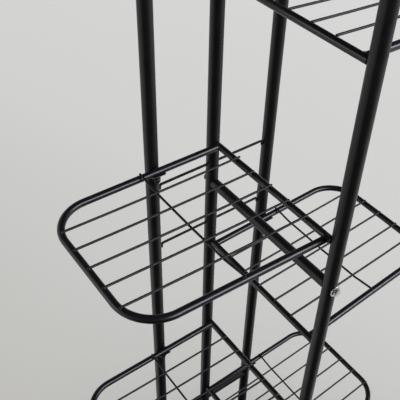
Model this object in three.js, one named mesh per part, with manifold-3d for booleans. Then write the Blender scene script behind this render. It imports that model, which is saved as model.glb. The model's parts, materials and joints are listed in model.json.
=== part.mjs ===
// Rotating display rack: four round posts on a turntable, with six welded wire trays
// that stand out alternately to the left and to the right.
// Millimetres, +Z up. The origin is on the floor, on the axis that the rack turns about.
// Trays reach out along X; the front post is on the -Y side.

import * as THREE from 'three';
import { mergeVertices } from 'three/addons/utils/BufferGeometryUtils.js';
import Module from 'manifold-3d';

const wasm = await Module();
wasm.setup();

// ---------------------------------------------------------------- driving dimensions

const GAP = 0.3; // clearance between pieces that touch

// tube and wire sizes
const POST_D = 19;
const POST_WALL = 1.2;
const TRAY_TUBE_D = 9.8;
const TRAY_WIRE_D = 3.2;
const CROSSBAR_D = 15.4;
const CROSSBAR_BORE_D = 7;
const TIE_ROD_D = 3.9;

// plan positions of the posts
const REAR_Y = 127;
const FRONT_Y = -127;
const LEFT_X = -103;
const RIGHT_X = 106;

// heights above the floor
const ROTOR_TOP_Z = 38;
const POST_TOP_Z = 1462;
const MIDDLE_CROSSBAR_Z = 846.6;
const TOP_CROSSBAR_Z = 1430;
const LOWER_REAR_BAR_Z = 265;
const UPPER_REAR_BAR_Z = 1405;
const TIE_ROD_Z = [882, 766];

// trays: height of the centre line of the tube between the posts, the side that the tray reaches
// out to, how much higher its far end is, and how far out its cross wire lies
const TRAYS = [
  { name: 'right_low', side: 1, z: 306.7, rise: 11, crossWireX: 130.5 },
  { name: 'left_low', side: -1, z: 521.1, rise: -1.5, crossWireX: 126.1 },
  { name: 'right_middle', side: 1, z: 723.7, rise: 9, crossWireX: 128.1 },
  { name: 'left_middle', side: -1, z: 919.9, rise: 2, crossWireX: 128.8 },
  { name: 'right_high', side: 1, z: 1166.2, rise: -14, crossWireX: 128.2 },
  { name: 'left_high', side: -1, z: 1366, rise: 0, crossWireX: 128.5 },
];
const TRAY_REACH = 263.3; // centre line between the posts to end tube centre line
const TRAY_BEND_R = 51;
const TRAY_FRONT_LEG_Y = -109.6; // between the posts
const TRAY_TOE_IN = 9; // the front leg runs this much closer to the rear one at its far end
const TRAY_WIRE_COUNT = 5;
const TRAY_WIRE_MIDDLE_Y = 0.1; // between the posts
const TRAY_WIRE_FAR_MIDDLE_Y = 3.4;
const TRAY_WIRE_PITCH = 35.3; // between the posts
const TRAY_WIRE_FAR_PITCH = 34.4;
const TRAY_WIRE_SAG = 1.3; // where the cross wire is
const CROSS_WIRE_DRIFT = 2.2; // how far to the right of its rear half the cross wire ends in front

// turntable
const BASE_D = 480;
const BASE_T = 6;
const FOOT_D = 34;
const FOOT_H = 9;
const FOOT_CIRCLE_R = 205;
const ROTOR_D = 372;
const ROTOR_T = 5;
const SPINDLE_D = 20;

const POST_SIDES = 20;
const TUBE_SIDES = 10;
const WIRE_SIDES = 6;

// ---------------------------------------------------------------- materials

const FINISHES = {
  blackPowder: { color: 0x1c1c1e, roughness: 0.5, metalness: 0.25 },
  blackGloss: { color: 0x17171a, roughness: 0.32, metalness: 0.35 },
  blackPlastic: { color: 0x141416, roughness: 0.55, metalness: 0 },
  rubber: { color: 0x101011, roughness: 0.9, metalness: 0 },
  zinc: { color: 0xc4c9cc, roughness: 0.32, metalness: 1 },
  steel: { color: 0x8f9296, roughness: 0.35, metalness: 1 },
};

const rack = new THREE.Group();

function addPiece(name, geometry, finish) {
  const mesh = new THREE.Mesh(geometry, new THREE.MeshStandardMaterial(FINISHES[finish]));
  mesh.name = name;
  rack.add(mesh);
  return mesh;
}

// ---------------------------------------------------------------- solids and booleans

function toSolid(geometry) {
  const bare = geometry.clone();
  bare.deleteAttribute('normal');
  bare.deleteAttribute('uv');
  const merged = mergeVertices(bare, 1e-3);
  return new wasm.Manifold(new wasm.Mesh({
    numProp: 3,
    vertProperties: new Float32Array(merged.attributes.position.array),
    triVerts: new Uint32Array(merged.index.array),
  }));
}

function toGeometry(solid) {
  const mesh = solid.getMesh();
  const geometry = new THREE.BufferGeometry();
  geometry.setAttribute('position', new THREE.BufferAttribute(mesh.vertProperties, 3));
  geometry.setIndex(new THREE.BufferAttribute(mesh.triVerts, 1));
  geometry.computeVertexNormals();
  return geometry;
}

const join = (first, ...others) => others.reduce((sum, other) => sum.add(other), first);
const cut = (first, ...others) => others.reduce((rest, other) => rest.subtract(other), first);

// A cylinder from one point to another.
function rod(from, to, diameter, sides, endDiameter = diameter) {
  const start = new THREE.Vector3(...from);
  const axis = new THREE.Vector3(...to).sub(start);
  const geometry = new THREE.CylinderGeometry(endDiameter / 2, diameter / 2, axis.length(), sides);
  const turn = new THREE.Quaternion().setFromUnitVectors(
    new THREE.Vector3(0, 1, 0), axis.clone().normalize());
  geometry.applyQuaternion(turn);
  const middle = start.addScaledVector(axis, 0.5);
  geometry.translate(middle.x, middle.y, middle.z);
  return toSolid(geometry);
}

// A solid of revolution about a vertical line; the profile is [radius, z] points.
function turned(profile, x, y, sides) {
  const points = profile.map(([radius, z]) => new THREE.Vector2(radius, z));
  const geometry = new THREE.LatheGeometry(points, sides);
  geometry.rotateX(Math.PI / 2); // the lathe turns about Y
  geometry.translate(x, y, 0);
  return toSolid(geometry);
}

// A ring with a rectangular section.
function ring(innerD, outerD, bottom, top, sides = 40, x = 0, y = 0) {
  const [inner, outer] = [innerD / 2, outerD / 2];
  return turned([[inner, bottom], [outer, bottom], [outer, top], [inner, top], [inner, bottom]],
    x, y, sides);
}

// A path of straight runs and arcs, given as stations with their directions, so that a tube
// swept along it gets facets only in its bends.
class StationPath extends THREE.Curve {
  constructor() {
    super();
    this.stations = [];
  }

  add(point, direction) {
    this.stations.push({ point, direction: direction.clone().normalize() });
    return this;
  }

  straight(from, to) {
    const direction = to.clone().sub(from);
    return this.add(from, direction).add(to, direction);
  }

  // an arc about `centre` from the path's last point, turning by `angle` about `axis`
  arc(centre, axis, angle, steps) {
    const last = this.stations[this.stations.length - 1];
    for (let i = 1; i <= steps; i += 1) {
      const turn = new THREE.Quaternion().setFromAxisAngle(axis, (angle * i) / steps);
      this.add(last.point.clone().sub(centre).applyQuaternion(turn).add(centre),
        last.direction.clone().applyQuaternion(turn));
    }
    return this;
  }

  at(t) {
    return this.stations[Math.round(t * (this.stations.length - 1))];
  }

  getPoint(t) { return this.at(t).point.clone(); }

  getPointAt(t) { return this.getPoint(t); }

  getTangentAt(t) { return this.at(t).direction.clone(); }
}

function sweep(path, diameter, sides) {
  const section = new THREE.Shape();
  section.absarc(0, 0, diameter / 2, 0, 2 * Math.PI);
  return toSolid(new THREE.ExtrudeGeometry(section, {
    extrudePath: path,
    steps: path.stations.length - 1,
    curveSegments: sides / 2,
  }));
}

// ---------------------------------------------------------------- posts

const TUBE_R = TRAY_TUBE_D / 2;
const POSTS = {
  left: [LEFT_X, REAR_Y],
  centre: [0, REAR_Y],
  right: [RIGHT_X, REAR_Y],
  front: [0, FRONT_Y],
};
const POST_BOTTOM_Z = ROTOR_TOP_Z + GAP;
const BOLT_D = 6;
const BOLT_HOLE_D = BOLT_D + 2 * GAP;

// a hole through a post, along X or along Y
function postHole([x, y], z, alongX, diameter) {
  const reach = POST_D;
  return alongX
    ? rod([x - reach, y, z], [x + reach, y, z], diameter, 8)
    : rod([x, y - reach, z], [x, y + reach, z], diameter, 8);
}

const crossbarHeights = [MIDDLE_CROSSBAR_Z, TOP_CROSSBAR_Z];
const rearBarHeights = [LOWER_REAR_BAR_Z, UPPER_REAR_BAR_Z];

for (const [place, [x, y]] of Object.entries(POSTS)) {
  let post = ring(POST_D - 2 * POST_WALL, POST_D, POST_BOTTOM_Z, POST_TOP_Z, POST_SIDES, x, y);
  if (y === REAR_Y) {
    for (const z of rearBarHeights) post = cut(post, postHole([x, y], z, true, BOLT_HOLE_D));
  }
  if (x === 0) {
    for (const z of crossbarHeights) post = cut(post, postHole([x, y], z, false, BOLT_HOLE_D));
  }
  if (place === 'centre') {
    for (const z of TIE_ROD_Z) post = cut(post, postHole([x, y], z, true, TIE_ROD_D + 2 * GAP));
  }
  addPiece(`post_${place}`, toGeometry(post), 'blackPowder');

  // a domed plug in the top of the post
  const plugR = POST_D / 2 - POST_WALL - GAP;
  const capR = POST_D / 2;
  const capZ = POST_TOP_Z + GAP;
  addPiece(`post_cap_${place}`, toGeometry(turned([
    [0, capZ - 14], [plugR, capZ - 14], [plugR, capZ], [capR, capZ], [capR, capZ + 2],
    [capR * 0.7, capZ + 5], [0, capZ + 6],
  ], x, y, 16)), 'blackPlastic');
}

// ---------------------------------------------------------------- bars between the posts

// A tube between two posts, its ends coped to the posts' curve.
function copedBar(from, to, z) {
  const start = new THREE.Vector3(...from, z);
  const end = new THREE.Vector3(...to, z);
  const past = end.clone().sub(start).setLength(POST_D);
  const bar = cut(
    rod(start, end, CROSSBAR_D, 14),
    rod(start.clone().sub(past), end.clone().add(past), CROSSBAR_BORE_D, 8),
  );
  const cope = ([x, y]) => rod([x, y, z - POST_D], [x, y, z + POST_D], POST_D + 2 * GAP, POST_SIDES);
  return cut(bar, cope(from), cope(to));
}

function hexHead(from, to, acrossFlats) {
  return rod(from, to, acrossFlats / Math.cos(Math.PI / 6), 6);
}

const HEAD_H = 3.4;
const WASHER_D = 16;
const WASHER_T = 1.3;

[['middle', MIDDLE_CROSSBAR_Z], ['top', TOP_CROSSBAR_Z]].forEach(([level, z]) => {
  addPiece(`crossbar_${level}`,
    toGeometry(copedBar(POSTS.front, POSTS.centre, z)), 'blackPowder');

  // one long bolt runs through both posts and the crossbar
  const frontFace = FRONT_Y - POST_D / 2 - GAP;
  const rearFace = REAR_Y + POST_D / 2 + GAP;
  const washerFace = frontFace - WASHER_T;
  addPiece(`crossbar_washer_${level}`, toGeometry(cut(
    rod([0, washerFace, z], [0, frontFace, z], WASHER_D, 20),
    rod([0, washerFace - 1, z], [0, frontFace + 1, z], BOLT_HOLE_D, 10),
  )), 'zinc');
  const headFace = washerFace - GAP;
  addPiece(`crossbar_bolt_${level}`, toGeometry(join(
    hexHead([0, headFace - HEAD_H, z], [0, headFace, z], 10),
    rod([0, headFace, z], [0, rearFace + 1, z], BOLT_D, 8),
  )), 'zinc');
  addPiece(`crossbar_nut_${level}`, toGeometry(join(
    rod([0, rearFace + 1 + GAP, z], [0, rearFace + 4, z], 11, 12),
    rod([0, rearFace + 4, z], [0, rearFace + 6, z], 11, 12, 6),
  )), 'blackGloss');
});

[['lower', LOWER_REAR_BAR_Z], ['upper', UPPER_REAR_BAR_Z]].forEach(([level, z]) => {
  addPiece(`rear_bar_${level}_left`,
    toGeometry(copedBar(POSTS.left, POSTS.centre, z)), 'blackPowder');
  addPiece(`rear_bar_${level}_right`,
    toGeometry(copedBar(POSTS.centre, POSTS.right, z)), 'blackPowder');

  // one long bolt runs through the three rear posts and both bars
  const leftFace = LEFT_X - POST_D / 2 - GAP;
  const rightFace = RIGHT_X + POST_D / 2 + GAP;
  addPiece(`rear_bar_bolt_${level}`, toGeometry(join(
    hexHead([rightFace, REAR_Y, z], [rightFace + HEAD_H, REAR_Y, z], 10),
    rod([leftFace - 1, REAR_Y, z], [rightFace, REAR_Y, z], BOLT_D, 8),
  )), 'zinc');
  addPiece(`rear_bar_nut_${level}`, toGeometry(join(
    rod([leftFace - 1 - GAP, REAR_Y, z], [leftFace - 4, REAR_Y, z], 11, 12),
    rod([leftFace - 4, REAR_Y, z], [leftFace - 6, REAR_Y, z], 11, 12, 6),
  )), 'blackGloss');
});

// Thin rods tie the outer rear posts through the centre one; each end turns down on its post.
const TIE_BEND_R = 3.5;
const TIE_TAIL = 8;
TIE_ROD_Z.forEach((z, i) => {
  const left = new THREE.Vector3(LEFT_X + POST_D / 2 + GAP + TIE_ROD_D / 2, REAR_Y, z);
  const right = new THREE.Vector3(RIGHT_X - POST_D / 2 - GAP - TIE_ROD_D / 2, REAR_Y, z);
  const down = new THREE.Vector3(0, 0, -1);
  const side = new THREE.Vector3(0, 1, 0);
  const path = new StationPath()
    .straight(left.clone().addScaledVector(down, TIE_TAIL), left.clone().addScaledVector(down, TIE_BEND_R))
    .arc(left.clone().add(new THREE.Vector3(TIE_BEND_R, 0, -TIE_BEND_R)), side, Math.PI / 2, 4)
    .add(right.clone().add(new THREE.Vector3(-TIE_BEND_R, 0, 0)), new THREE.Vector3(1, 0, 0))
    .arc(right.clone().add(new THREE.Vector3(-TIE_BEND_R, 0, -TIE_BEND_R)), side, Math.PI / 2, 4)
    .add(right.clone().addScaledVector(down, TIE_TAIL), down);
  addPiece(`tie_rod_${['upper', 'lower'][i]}`, toGeometry(sweep(path, TIE_ROD_D, 8)), 'blackPowder');
});

// ---------------------------------------------------------------- trays

const REAR_LEG_Y = REAR_Y - POST_D / 2 - GAP - TUBE_R;
const WIRE_Z = TUBE_R + TRAY_WIRE_D / 2 - 0.3; // wires are welded on top of the tubes

// The bent tube, from the near end of the rear leg round to that of the front leg.
function trayTubePath(side) {
  const r = TRAY_BEND_R;
  const endX = side * TRAY_REACH;
  const frontEndY = TRAY_FRONT_LEG_Y + TRAY_TOE_IN; // where the front leg's line meets the end tube
  const up = new THREE.Vector3(0, 0, side < 0 ? 1 : -1);
  const toe = Math.atan2(TRAY_TOE_IN, TRAY_REACH);
  const rearCentre = new THREE.Vector3(endX - side * r, REAR_LEG_Y - r, 0);
  // the front bend's centre is one bend radius from the end tube and from the toed-in leg
  const frontCentre = new THREE.Vector3(endX - side * r, 0, 0);
  const legYAtCentre = frontEndY - Math.tan(toe) * r;
  frontCentre.y = legYAtCentre + r / Math.cos(toe);
  return new StationPath()
    .straight(new THREE.Vector3(0, REAR_LEG_Y, 0), new THREE.Vector3(rearCentre.x, REAR_LEG_Y, 0))
    .arc(rearCentre, up, Math.PI / 2, 6)
    .add(new THREE.Vector3(endX, frontCentre.y, 0), new THREE.Vector3(0, -1, 0))
    .arc(frontCentre, up, Math.PI / 2 + toe, 6)
    .add(new THREE.Vector3(0, TRAY_FRONT_LEG_Y, 0), new THREE.Vector3(-side * TRAY_REACH, -TRAY_TOE_IN, 0));
}

// A long wire rests on the tubes at both ends, and sags to the cross wire between them.
function longWirePath(side, crossWireX, index) {
  const places = index - (TRAY_WIRE_COUNT - 1) / 2;
  const nearY = TRAY_WIRE_MIDDLE_Y + places * TRAY_WIRE_PITCH;
  const farY = TRAY_WIRE_FAR_MIDDLE_Y + places * TRAY_WIRE_FAR_PITCH;
  const slope = (farY - nearY) / TRAY_REACH;
  const path = new StationPath();
  const steps = [[-2, 0], [6, 0], [45, 0.6], [crossWireX, 1], [212, 0.6], [TRAY_REACH - 6, 0],
    [TRAY_REACH + 1, 0]];
  for (const [x, sag] of steps) {
    path.add(new THREE.Vector3(side * x, nearY + slope * x, WIRE_Z - sag * TRAY_WIRE_SAG),
      new THREE.Vector3(side, slope, 0));
  }
  return path;
}

// The cross wire lies under the long wires, rises gently over both legs and leans a little to the
// right from its middle to its front end.
function crossWirePath(rearX, frontY) {
  const low = WIRE_Z - TRAY_WIRE_SAG - TRAY_WIRE_D * 0.75;
  const high = WIRE_Z;
  const drift = (y) => CROSS_WIRE_DRIFT * Math.max(0, y / frontY);
  const at = (y, height) => new THREE.Vector3(rearX + drift(y), y, height);
  const along = new THREE.Vector3(0, -1, 0);
  return new StationPath()
    .straight(at(REAR_LEG_Y + 1, high), at(REAR_LEG_Y - 5, high))
    .add(at(REAR_LEG_Y - 32, low), along)
    .add(at(0, low), along)
    .add(at(frontY + 34, low), along)
    .add(at(frontY + 5, high), along)
    .add(at(frontY - 1, high), along);
}

function trayFrontY(x) {
  return TRAY_FRONT_LEG_Y + (TRAY_TOE_IN * Math.abs(x)) / TRAY_REACH;
}

// how far a tray is turned about its tube between the posts, in radians
function trayTilt({ side, rise }) {
  return -side * Math.asin(rise / TRAY_REACH);
}

for (const tray of TRAYS) {
  const { name, side, z, crossWireX } = tray;
  // the cross tube runs between the centre rear post and the front post
  const toPost = POST_D / 2 + GAP;
  const crossTube = rod([0, REAR_Y - toPost, 0], [0, FRONT_Y + toPost, 0], TRAY_TUBE_D, TUBE_SIDES);
  const wires = [];
  for (let i = 0; i < TRAY_WIRE_COUNT; i += 1) {
    wires.push(sweep(longWirePath(side, crossWireX, i), TRAY_WIRE_D, WIRE_SIDES));
  }
  const crossX = side * crossWireX;
  wires.push(sweep(crossWirePath(crossX, trayFrontY(crossX)), TRAY_WIRE_D, WIRE_SIDES));
  const tube = sweep(trayTubePath(side), TRAY_TUBE_D, TUBE_SIDES);
  const level = join(tube, crossTube, ...wires);
  const tilt = THREE.MathUtils.radToDeg(trayTilt(tray));
  addPiece(`tray_${name}`, toGeometry(level.rotate([0, tilt, 0]).translate([0, 0, z])), 'blackGloss');
}

// ---------------------------------------------------------------- tray saddles

// A pressed saddle cups the tray's rear leg from below, and its curved tongue hugs the post.
const CRADLE_LENGTH = 19;
const CRADLE_INNER_R = TUBE_R + 0.35;
const CRADLE_OUTER_R = CRADLE_INNER_R + 2.5;
const TONGUE_T = 2;
const TONGUE_HALF_ANGLE = THREE.MathUtils.degToRad(74);
const TONGUE_TAPER_TOP = -14;
const TONGUE_BOTTOM = -25;
const TONGUE_BOTTOM_WIDTH = 15;
const SADDLE_SCREW_Z = -17.5;
const SADDLE_SCREW_HEAD_H = 3.4;

function saddle(postX, z, tilt) {
  // section of the cradle in the plane across the leg: [y, z] from the leg's centre
  const from = THREE.MathUtils.degToRad(190);
  const to = THREE.MathUtils.degToRad(305);
  const section = new THREE.Shape();
  section.absarc(0, 0, CRADLE_OUTER_R, from, to, false);
  section.absarc(0, 0, CRADLE_INNER_R, to, from, true);
  section.closePath();
  const cradle = new THREE.ExtrudeGeometry(section,
    { depth: CRADLE_LENGTH, bevelEnabled: false, curveSegments: 4 });
  cradle.rotateX(Math.PI / 2).rotateZ(Math.PI / 2);
  cradle.translate(-CRADLE_LENGTH / 2, 0, 0).rotateY(tilt);
  cradle.translate(postX, REAR_LEG_Y, z);

  const inner = POST_D / 2 + GAP;
  const outer = inner + TONGUE_T;
  const facing = -Math.PI / 2;
  const plan = new THREE.Shape();
  plan.absarc(0, 0, outer, facing - TONGUE_HALF_ANGLE, facing + TONGUE_HALF_ANGLE, false);
  plan.absarc(0, 0, inner, facing + TONGUE_HALF_ANGLE, facing - TONGUE_HALF_ANGLE, true);
  plan.closePath();
  const tongueTop = -TUBE_R + 0.2;
  const tongue = new THREE.ExtrudeGeometry(plan,
    { depth: tongueTop - TONGUE_BOTTOM, bevelEnabled: false, curveSegments: 6 });
  tongue.translate(postX, REAR_Y, z + TONGUE_BOTTOM);

  // front view of the tongue: its upper corners are cut off and it narrows towards its lower end
  const outline = new THREE.Shape();
  const tip = TONGUE_BOTTOM_WIDTH / 2;
  outline.moveTo(-7, 1).lineTo(-7, -4).lineTo(-outer - 1, -10).lineTo(-outer - 1, TONGUE_TAPER_TOP);
  outline.lineTo(-tip, TONGUE_BOTTOM - 1).lineTo(tip, TONGUE_BOTTOM - 1);
  outline.lineTo(outer + 1, TONGUE_TAPER_TOP).lineTo(outer + 1, -10).lineTo(7, -4).lineTo(7, 1);
  outline.closePath();
  const front = new THREE.ExtrudeGeometry(outline, { depth: POST_D, bevelEnabled: false });
  front.rotateX(Math.PI / 2).translate(postX, REAR_Y, z);

  // the leg's own channel stays clear of the tongue
  const lean = 30 * Math.tan(tilt);
  const channel = rod([postX - 30, REAR_LEG_Y, z + lean], [postX + 30, REAR_LEG_Y, z - lean],
    2 * CRADLE_INNER_R + 0.4, 12);
  const screwHole = rod([postX, REAR_Y, z + SADDLE_SCREW_Z],
    [postX, REAR_Y - 40, z + SADDLE_SCREW_Z], 4.4, 8);
  return join(toSolid(cradle), cut(toSolid(tongue).intersect(toSolid(front)), channel, screwHole));
}

for (const tray of TRAYS) {
  const { name, side } = tray;
  const postX = side < 0 ? LEFT_X : RIGHT_X;
  const tilt = trayTilt(tray);
  const legZ = tray.z - postX * Math.tan(tilt); // the rear leg's height at the post
  addPiece(`saddle_${name}`, toGeometry(saddle(postX, legZ, tilt)), 'blackPowder');
  const face = REAR_Y - POST_D / 2 - GAP - TONGUE_T - GAP;
  const screwZ = legZ + SADDLE_SCREW_Z;
  addPiece(`saddle_screw_${name}`, toGeometry(join(
    rod([postX, face, screwZ], [postX, face - SADDLE_SCREW_HEAD_H, screwZ], 8, 10, 5),
    rod([postX, face, screwZ], [postX, face + TONGUE_T + GAP, screwZ], 3.8, 8),
  )), 'blackGloss');
}

// ---------------------------------------------------------------- turntable

const BASE_BOTTOM = FOOT_H + GAP;
const BASE_TOP = BASE_BOTTOM + BASE_T;
const ROTOR_BOTTOM = ROTOR_TOP_Z - ROTOR_T;

// stationary base: steel disc with a turned-down rim line, on four rubber feet
addPiece('base_plate', toGeometry(turned([
  [0, BASE_BOTTOM], [BASE_D / 2 - 1.5, BASE_BOTTOM], [BASE_D / 2, BASE_BOTTOM + 1.5],
  [BASE_D / 2, BASE_TOP - 1.5], [BASE_D / 2 - 1.5, BASE_TOP], [0, BASE_TOP],
], 0, 0, 48)), 'blackPowder');

[45, 135, 225, 315].forEach((degrees, i) => {
  const angle = THREE.MathUtils.degToRad(degrees);
  const [x, y] = [FOOT_CIRCLE_R * Math.cos(angle), FOOT_CIRCLE_R * Math.sin(angle)];
  addPiece(`base_foot_${i + 1}`, toGeometry(turned([
    [0, 0], [FOOT_D / 2 - 2, 0], [FOOT_D / 2, 2], [FOOT_D / 2, FOOT_H], [0, FOOT_H],
  ], x, y, 14)), 'rubber');
});

// spindle: flange welded to the base, shaft up through the bearing and the hub
const FLANGE_TOP = BASE_TOP + GAP + 4;
const HUB_TOP = ROTOR_TOP_Z + 26;
const SPINDLE_TOP = HUB_TOP + 13;
addPiece('spindle', toGeometry(turned([
  [0, BASE_TOP + GAP], [29, BASE_TOP + GAP], [29, FLANGE_TOP], [SPINDLE_D / 2, FLANGE_TOP],
  [SPINDLE_D / 2, HUB_TOP + 1], [SPINDLE_D / 2 - 2, HUB_TOP + 1], [SPINDLE_D / 2 - 2, SPINDLE_TOP - 1],
  [SPINDLE_D / 2 - 3, SPINDLE_TOP], [0, SPINDLE_TOP],
], 0, 0, 24)), 'steel');

// thrust ball bearing between the base and the rotor
const BALL_D = 7;
const BALL_COUNT = 10;
const RACE_INNER_D = 62;
const RACE_OUTER_D = 96;
const BALL_CIRCLE_R = (RACE_INNER_D + RACE_OUTER_D) / 4;
const BALL_Z = (BASE_TOP + ROTOR_BOTTOM) / 2;
const GROOVE_R = BALL_D / 2 + 0.45; // running clearance round the balls
const RACE_CLEAR = 2.2; // half the height between the two races

// A race is a flat ring with a round groove in the face towards the balls.
function race(back, face) {
  const upper = back > face;
  const dip = Math.asin(RACE_CLEAR / GROOVE_R);
  const groove = [];
  for (let i = 0; i <= 4; i += 1) {
    const angle = dip + ((Math.PI - 2 * dip) * i) / 4;
    const across = GROOVE_R * Math.cos(angle) * (upper ? -1 : 1);
    const height = GROOVE_R * Math.sin(angle) * (upper ? 1 : -1);
    groove.push([BALL_CIRCLE_R + across, BALL_Z + height]);
  }
  const [near, far] = upper
    ? [RACE_INNER_D / 2, RACE_OUTER_D / 2] : [RACE_OUTER_D / 2, RACE_INNER_D / 2];
  return turned([[near, back], [near, face], ...groove, [far, face], [far, back], [near, back]],
    0, 0, 36);
}

addPiece('bearing_race_lower', toGeometry(race(BASE_TOP + GAP, BALL_Z - RACE_CLEAR)), 'steel');
addPiece('bearing_race_upper', toGeometry(race(ROTOR_BOTTOM - GAP, BALL_Z + RACE_CLEAR)), 'steel');

// the balls are held in one flat ring, so they go round together
let ballRing = ring(2 * BALL_CIRCLE_R - 10, 2 * BALL_CIRCLE_R + 10, BALL_Z - 0.8, BALL_Z + 0.8, 20);
for (let i = 0; i < BALL_COUNT; i += 1) {
  const angle = (2 * Math.PI * i) / BALL_COUNT;
  const ball = new THREE.SphereGeometry(BALL_D / 2, 6, 4);
  ball.translate(BALL_CIRCLE_R * Math.cos(angle), BALL_CIRCLE_R * Math.sin(angle), BALL_Z);
  ballRing = join(ballRing, toSolid(ball));
}
addPiece('bearing_ball_ring', toGeometry(ballRing), 'steel');

// rotor: a round steel plate with a spigot for the foot of each post
const SPIGOT_D = POST_D - 2 * POST_WALL - 2 * GAP;
const plate = turned([
  [SPINDLE_D / 2 + 3, ROTOR_BOTTOM], [ROTOR_D / 2 - 1.5, ROTOR_BOTTOM], [ROTOR_D / 2, ROTOR_BOTTOM + 1.5],
  [ROTOR_D / 2, ROTOR_TOP_Z - 1.5], [ROTOR_D / 2 - 1.5, ROTOR_TOP_Z], [SPINDLE_D / 2 + 3, ROTOR_TOP_Z],
  [SPINDLE_D / 2 + 3, ROTOR_BOTTOM],
], 0, 0, 40);
const spigots = Object.values(POSTS).map(([x, y]) =>
  rod([x, y, ROTOR_TOP_Z - 1], [x, y, ROTOR_TOP_Z + 30], SPIGOT_D, 12));
addPiece('rotor_plate', toGeometry(join(plate, ...spigots)), 'blackPowder');

// hub: a flanged sleeve on the plate that runs on the spindle
const HUB_SIDES = 24;
const HUB_BORE_R = (SPINDLE_D / 2 + 0.08) / Math.cos(Math.PI / HUB_SIDES);
addPiece('hub_sleeve', toGeometry(turned([
  [HUB_BORE_R, ROTOR_TOP_Z + GAP], [34, ROTOR_TOP_Z + GAP], [34, ROTOR_TOP_Z + 4.3],
  [17, ROTOR_TOP_Z + 4.3], [17, HUB_TOP], [HUB_BORE_R, HUB_TOP], [HUB_BORE_R, ROTOR_TOP_Z + GAP],
], 0, 0, HUB_SIDES)), 'blackPowder');

// a locking nut on the end of the spindle keeps the rotor down
addPiece('spindle_nut', toGeometry(cut(
  join(
    rod([0, 0, HUB_TOP + GAP + 1], [0, 0, HUB_TOP + 2.6], 30, 20),
    hexHead([0, 0, HUB_TOP + 2.6], [0, 0, HUB_TOP + 10], 24),
  ),
  rod([0, 0, HUB_TOP - 5], [0, 0, HUB_TOP + 20], SPINDLE_D - 4 + 0.4, 24),
)), 'zinc');

export default rack;
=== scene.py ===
"""Looks for the rotating display rack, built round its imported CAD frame. Metres, +Z up."""
import json
import math

import bmesh
import bpy
from mathutils import Matrix, Quaternion, Vector, noise

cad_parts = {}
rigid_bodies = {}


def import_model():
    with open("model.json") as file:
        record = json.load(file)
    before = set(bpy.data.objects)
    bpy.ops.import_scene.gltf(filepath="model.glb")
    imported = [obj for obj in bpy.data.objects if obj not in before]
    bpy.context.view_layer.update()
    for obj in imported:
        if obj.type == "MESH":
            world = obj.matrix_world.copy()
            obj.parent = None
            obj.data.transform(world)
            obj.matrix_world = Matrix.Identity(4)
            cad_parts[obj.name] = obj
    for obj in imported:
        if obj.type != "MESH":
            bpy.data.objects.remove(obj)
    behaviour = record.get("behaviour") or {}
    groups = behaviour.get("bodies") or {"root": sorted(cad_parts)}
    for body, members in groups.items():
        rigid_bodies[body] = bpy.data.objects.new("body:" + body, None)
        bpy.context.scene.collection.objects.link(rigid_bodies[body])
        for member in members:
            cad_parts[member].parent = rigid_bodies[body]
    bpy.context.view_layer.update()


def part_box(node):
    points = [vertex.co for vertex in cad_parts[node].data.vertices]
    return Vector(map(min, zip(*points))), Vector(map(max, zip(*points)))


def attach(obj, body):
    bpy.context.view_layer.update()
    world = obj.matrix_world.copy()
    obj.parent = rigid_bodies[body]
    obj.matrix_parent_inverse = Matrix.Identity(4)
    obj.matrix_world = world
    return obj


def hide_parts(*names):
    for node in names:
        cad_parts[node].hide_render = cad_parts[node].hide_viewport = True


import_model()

MM = 0.001
UP = Vector((0, 0, 1))


def at(x, y, z):
    return Vector((x, y, z))


# ------------------------------------------------------------------ camera

CAMERA_PLACE = at(-0.46262, -0.47951, 1.48442)
CAMERA_AZIMUTH, CAMERA_ELEVATION, CAMERA_ROLL = (math.radians(a) for a in (-38.669, 40.803, 2.762))
CAMERA_LENS, CAMERA_SENSOR = 59.735, 36
CAMERA_SHIFT = (-0.05767, -0.02144)


def make_camera():
    """Looks at the rack from where the photograph was taken, with the same lens."""
    back = at(math.sin(CAMERA_AZIMUTH) * math.cos(CAMERA_ELEVATION),
              -math.cos(CAMERA_AZIMUTH) * math.cos(CAMERA_ELEVATION), math.sin(CAMERA_ELEVATION))
    level_right = at(math.cos(CAMERA_AZIMUTH), math.sin(CAMERA_AZIMUTH), 0)
    level_up = back.cross(level_right)
    right = level_right * math.cos(CAMERA_ROLL) + level_up * math.sin(CAMERA_ROLL)
    up = level_up * math.cos(CAMERA_ROLL) - level_right * math.sin(CAMERA_ROLL)
    data = bpy.data.cameras.new("camera")
    data.sensor_width = CAMERA_SENSOR
    data.lens = CAMERA_LENS
    data.shift_x, data.shift_y = CAMERA_SHIFT
    data.clip_start, data.clip_end = 0.05, 100
    camera = bpy.data.objects.new("camera", data)
    axes = Matrix((right, up, back)).transposed()
    camera.matrix_world = Matrix.Translation(CAMERA_PLACE) @ axes.to_4x4()
    bpy.context.scene.collection.objects.link(camera)
    bpy.context.scene.camera = camera


make_camera()
bpy.context.scene.view_settings.view_transform = "Standard"


# ------------------------------------------------------------------ materials

def map_range(tree, source, low, high, new_low, new_high):
    """A node that stretches the range low to high to the range new_low to new_high."""
    node = tree.nodes.new("ShaderNodeMapRange")
    tree.links.new(source, node.inputs["Value"])
    for key, value in (("From Min", low), ("From Max", high), ("To Min", new_low), ("To Max", new_high)):
        node.inputs[key].default_value = value
    return node


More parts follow.
